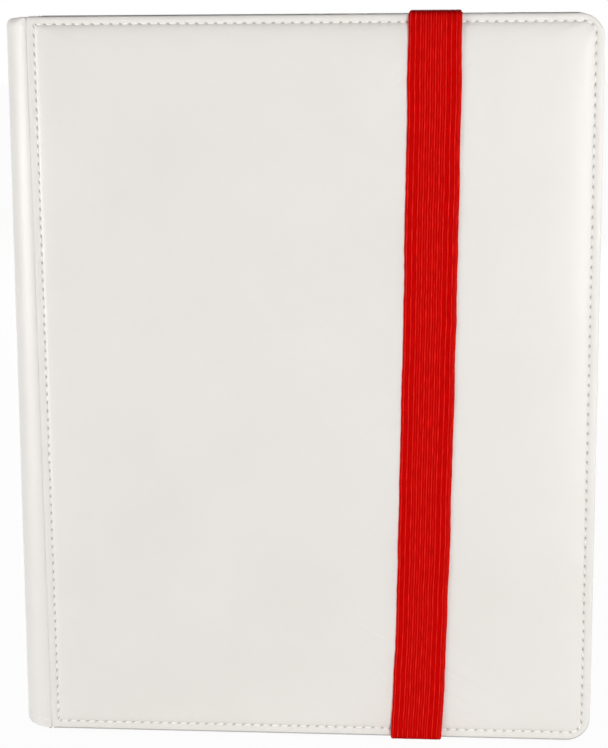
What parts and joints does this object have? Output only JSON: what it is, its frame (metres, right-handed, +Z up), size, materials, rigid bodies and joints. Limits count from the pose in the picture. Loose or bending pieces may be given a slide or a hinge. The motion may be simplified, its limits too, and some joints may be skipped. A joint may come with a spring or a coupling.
{
  "type": "trading card binder",
  "caption": "Padded white card binder with a rounded spine, side-loading pocket pages and a red elastic band that runs over its front cover from top to bottom.",
  "frame": {"origin": "under the middle of the closed binder, on the surface that it stands on", "axes": "+Z up along the spine, +X from the spine to the fore edge, +Y from the front cover to the back cover"},
  "size_m": [0.276, 0.0376, 0.348],
  "materials": {
    "leatherette": "white imitation leather with a fine grain, satin",
    "greyboard": "dense unbleached board",
    "foam_padding": "soft foam sheet",
    "inner_lining": "matt black lining",
    "seam_thread": "off-white sewing thread",
    "red_elastic": "ribbed woven elastic",
    "binding_strip": "black polypropylene",
    "page_sheet": "black polypropylene sheet",
    "pocket_film": "clear soft film"
  },
  "bodies": {
    "back_cover": {"back_board": "greyboard", "back_foam": "foam_padding", "back_skin": "leatherette", "back_lining": "inner_lining", "back_seam_thread": "seam_thread", "strap_anchor_top": "red_elastic", "strap_anchor_bottom": "red_elastic"},
    "spine": {"spine_board": "greyboard", "spine_foam": "foam_padding", "spine_skin": "leatherette", "spine_lining": "inner_lining", "page_binding": "binding_strip"},
    "front_cover": {"front_board": "greyboard", "front_foam": "foam_padding", "front_skin": "leatherette", "front_lining": "inner_lining", "front_seam_thread": "seam_thread"},
    "strap": {"elastic_strap": "red_elastic"},
    "page_01": {"page_01_backing": "page_sheet", "page_01_pockets": "pocket_film"},
    "page_02": {"page_02_backing": "page_sheet", "page_02_pockets": "pocket_film"},
    "page_03": {"page_03_backing": "page_sheet", "page_03_pockets": "pocket_film"},
    "page_04": {"page_04_backing": "page_sheet", "page_04_pockets": "pocket_film"},
    "page_05": {"page_05_backing": "page_sheet", "page_05_pockets": "pocket_film"},
    "page_06": {"page_06_backing": "page_sheet", "page_06_pockets": "pocket_film"},
    "page_07": {"page_07_backing": "page_sheet", "page_07_pockets": "pocket_film"},
    "page_08": {"page_08_backing": "page_sheet", "page_08_pockets": "pocket_film"},
    "page_09": {"page_09_backing": "page_sheet", "page_09_pockets": "pocket_film"},
    "page_10": {"page_10_backing": "page_sheet", "page_10_pockets": "pocket_film"},
    "page_11": {"page_11_backing": "page_sheet", "page_11_pockets": "pocket_film"},
    "page_12": {"page_12_backing": "page_sheet", "page_12_pockets": "pocket_film"},
    "page_13": {"page_13_backing": "page_sheet", "page_13_pockets": "pocket_film"},
    "page_14": {"page_14_backing": "page_sheet", "page_14_pockets": "pocket_film"},
    "page_15": {"page_15_backing": "page_sheet", "page_15_pockets": "pocket_film"},
    "page_16": {"page_16_backing": "page_sheet", "page_16_pockets": "pocket_film"},
    "page_17": {"page_17_backing": "page_sheet", "page_17_pockets": "pocket_film"},
    "page_18": {"page_18_backing": "page_sheet", "page_18_pockets": "pocket_film"},
    "page_19": {"page_19_backing": "page_sheet", "page_19_pockets": "pocket_film"},
    "page_20": {"page_20_backing": "page_sheet", "page_20_pockets": "pocket_film"}
  },
  "joints": [
    {"name": "spine_crease", "type": "hinge", "parent": "back_cover", "child": "spine", "pos_m": [-0.125, 0.01675, 0.174], "axis": [0, 0, -1], "range_deg": [0, 90]},
    {"name": "front_cover_crease", "type": "hinge", "parent": "spine", "child": "front_cover", "pos_m": [-0.125, -0.01525, 0.174], "axis": [0, 0, -1], "range_deg": [0, 90]},
    {"name": "page_01_hem", "type": "hinge", "parent": "spine", "child": "page_01", "pos_m": [-0.119, -0.01112, 0.174], "axis": [0, 0, -1], "range_deg": [0, 85]},
    {"name": "page_02_hem", "type": "hinge", "parent": "spine", "child": "page_02", "pos_m": [-0.119, -0.00988, 0.174], "axis": [0, 0, -1], "range_deg": [0, 80]},
    {"name": "page_03_hem", "type": "hinge", "parent": "spine", "child": "page_03", "pos_m": [-0.119, -0.00863, 0.174], "axis": [0, 0, -1], "range_deg": [0, 75.5]},
    {"name": "page_04_hem", "type": "hinge", "parent": "spine", "child": "page_04", "pos_m": [-0.119, -0.00737, 0.174], "axis": [0, 0, -1], "range_deg": [0, 71.5]},
    {"name": "page_05_hem", "type": "hinge", "parent": "spine", "child": "page_05", "pos_m": [-0.119, -0.00613, 0.174], "axis": [0, 0, -1], "range_deg": [0, 68]},
    {"name": "page_06_hem", "type": "hinge", "parent": "spine", "child": "page_06", "pos_m": [-0.119, -0.00487, 0.174], "axis": [0, 0, -1], "range_deg": [0, 64.5]},
    {"name": "page_07_hem", "type": "hinge", "parent": "spine", "child": "page_07", "pos_m": [-0.119, -0.00363, 0.174], "axis": [0, 0, -1], "range_deg": [0, 61]},
    {"name": "page_08_hem", "type": "hinge", "parent": "spine", "child": "page_08", "pos_m": [-0.119, -0.00237, 0.174], "axis": [0, 0, -1], "range_deg": [0, 57.5]},
    {"name": "page_09_hem", "type": "hinge", "parent": "spine", "child": "page_09", "pos_m": [-0.119, -0.00112, 0.174], "axis": [0, 0, -1], "range_deg": [0, 54]},
    {"name": "page_10_hem", "type": "hinge", "parent": "spine", "child": "page_10", "pos_m": [-0.119, 0.00013, 0.174], "axis": [0, 0, -1], "range_deg": [0, 50.5]},
    {"name": "page_11_hem", "type": "hinge", "parent": "spine", "child": "page_11", "pos_m": [-0.119, 0.00137, 0.174], "axis": [0, 0, -1], "range_deg": [-50.5, 0]},
    {"name": "page_12_hem", "type": "hinge", "parent": "spine", "child": "page_12", "pos_m": [-0.119, 0.00263, 0.174], "axis": [0, 0, -1], "range_deg": [-54, 0]},
    {"name": "page_13_hem", "type": "hinge", "parent": "spine", "child": "page_13", "pos_m": [-0.119, 0.00387, 0.174], "axis": [0, 0, -1], "range_deg": [-57.5, 0]},
    {"name": "page_14_hem", "type": "hinge", "parent": "spine", "child": "page_14", "pos_m": [-0.119, 0.00513, 0.174], "axis": [0, 0, -1], "range_deg": [-61, 0]},
    {"name": "page_15_hem", "type": "hinge", "parent": "spine", "child": "page_15", "pos_m": [-0.119, 0.00637, 0.174], "axis": [0, 0, -1], "range_deg": [-64.5, 0]},
    {"name": "page_16_hem", "type": "hinge", "parent": "spine", "child": "page_16", "pos_m": [-0.119, 0.00762, 0.174], "axis": [0, 0, -1], "range_deg": [-68, 0]},
    {"name": "page_17_hem", "type": "hinge", "parent": "spine", "child": "page_17", "pos_m": [-0.119, 0.00887, 0.174], "axis": [0, 0, -1], "range_deg": [-71.5, 0]},
    {"name": "page_18_hem", "type": "hinge", "parent": "spine", "child": "page_18", "pos_m": [-0.119, 0.01013, 0.174], "axis": [0, 0, -1], "range_deg": [-75.5, 0]},
    {"name": "page_19_hem", "type": "hinge", "parent": "spine", "child": "page_19", "pos_m": [-0.119, 0.01137, 0.174], "axis": [0, 0, -1], "range_deg": [-80, 0]},
    {"name": "page_20_hem", "type": "hinge", "parent": "spine", "child": "page_20", "pos_m": [-0.119, 0.01263, 0.174], "axis": [0, 0, -1], "range_deg": [-85, 0]},
    {"name": "strap_stow", "type": "slide", "parent": "back_cover", "child": "strap", "axis": [0, 1, 0], "range_m": [0, 0.0378], "deforming": ["elastic_strap"]}
  ],
  "couplings": [
    {"joint": "front_cover_crease", "follows": "spine_crease", "ratio": 1},
    {"joint": "page_01_hem", "follows": "spine_crease", "ratio": 0.94444},
    {"joint": "page_02_hem", "follows": "spine_crease", "ratio": 0.88889},
    {"joint": "page_03_hem", "follows": "spine_crease", "ratio": 0.83889},
    {"joint": "page_04_hem", "follows": "spine_crease", "ratio": 0.79444},
    {"joint": "page_05_hem", "follows": "spine_crease", "ratio": 0.75556},
    {"joint": "page_06_hem", "follows": "spine_crease", "ratio": 0.71667},
    {"joint": "page_07_hem", "follows": "spine_crease", "ratio": 0.67778},
    {"joint": "page_08_hem", "follows": "spine_crease", "ratio": 0.63889},
    {"joint": "page_09_hem", "follows": "spine_crease", "ratio": 0.6},
    {"joint": "page_10_hem", "follows": "spine_crease", "ratio": 0.56111},
    {"joint": "page_11_hem", "follows": "spine_crease", "ratio": -0.56111},
    {"joint": "page_12_hem", "follows": "spine_crease", "ratio": -0.6},
    {"joint": "page_13_hem", "follows": "spine_crease", "ratio": -0.63889},
    {"joint": "page_14_hem", "follows": "spine_crease", "ratio": -0.67778},
    {"joint": "page_15_hem", "follows": "spine_crease", "ratio": -0.71667},
    {"joint": "page_16_hem", "follows": "spine_crease", "ratio": -0.75556},
    {"joint": "page_17_hem", "follows": "spine_crease", "ratio": -0.79444},
    {"joint": "page_18_hem", "follows": "spine_crease", "ratio": -0.83889},
    {"joint": "page_19_hem", "follows": "spine_crease", "ratio": -0.88889},
    {"joint": "page_20_hem", "follows": "spine_crease", "ratio": -0.94444},
    {"joint": "strap_stow", "follows": "spine_crease", "m_per_rad": 0.024064}
  ]
}
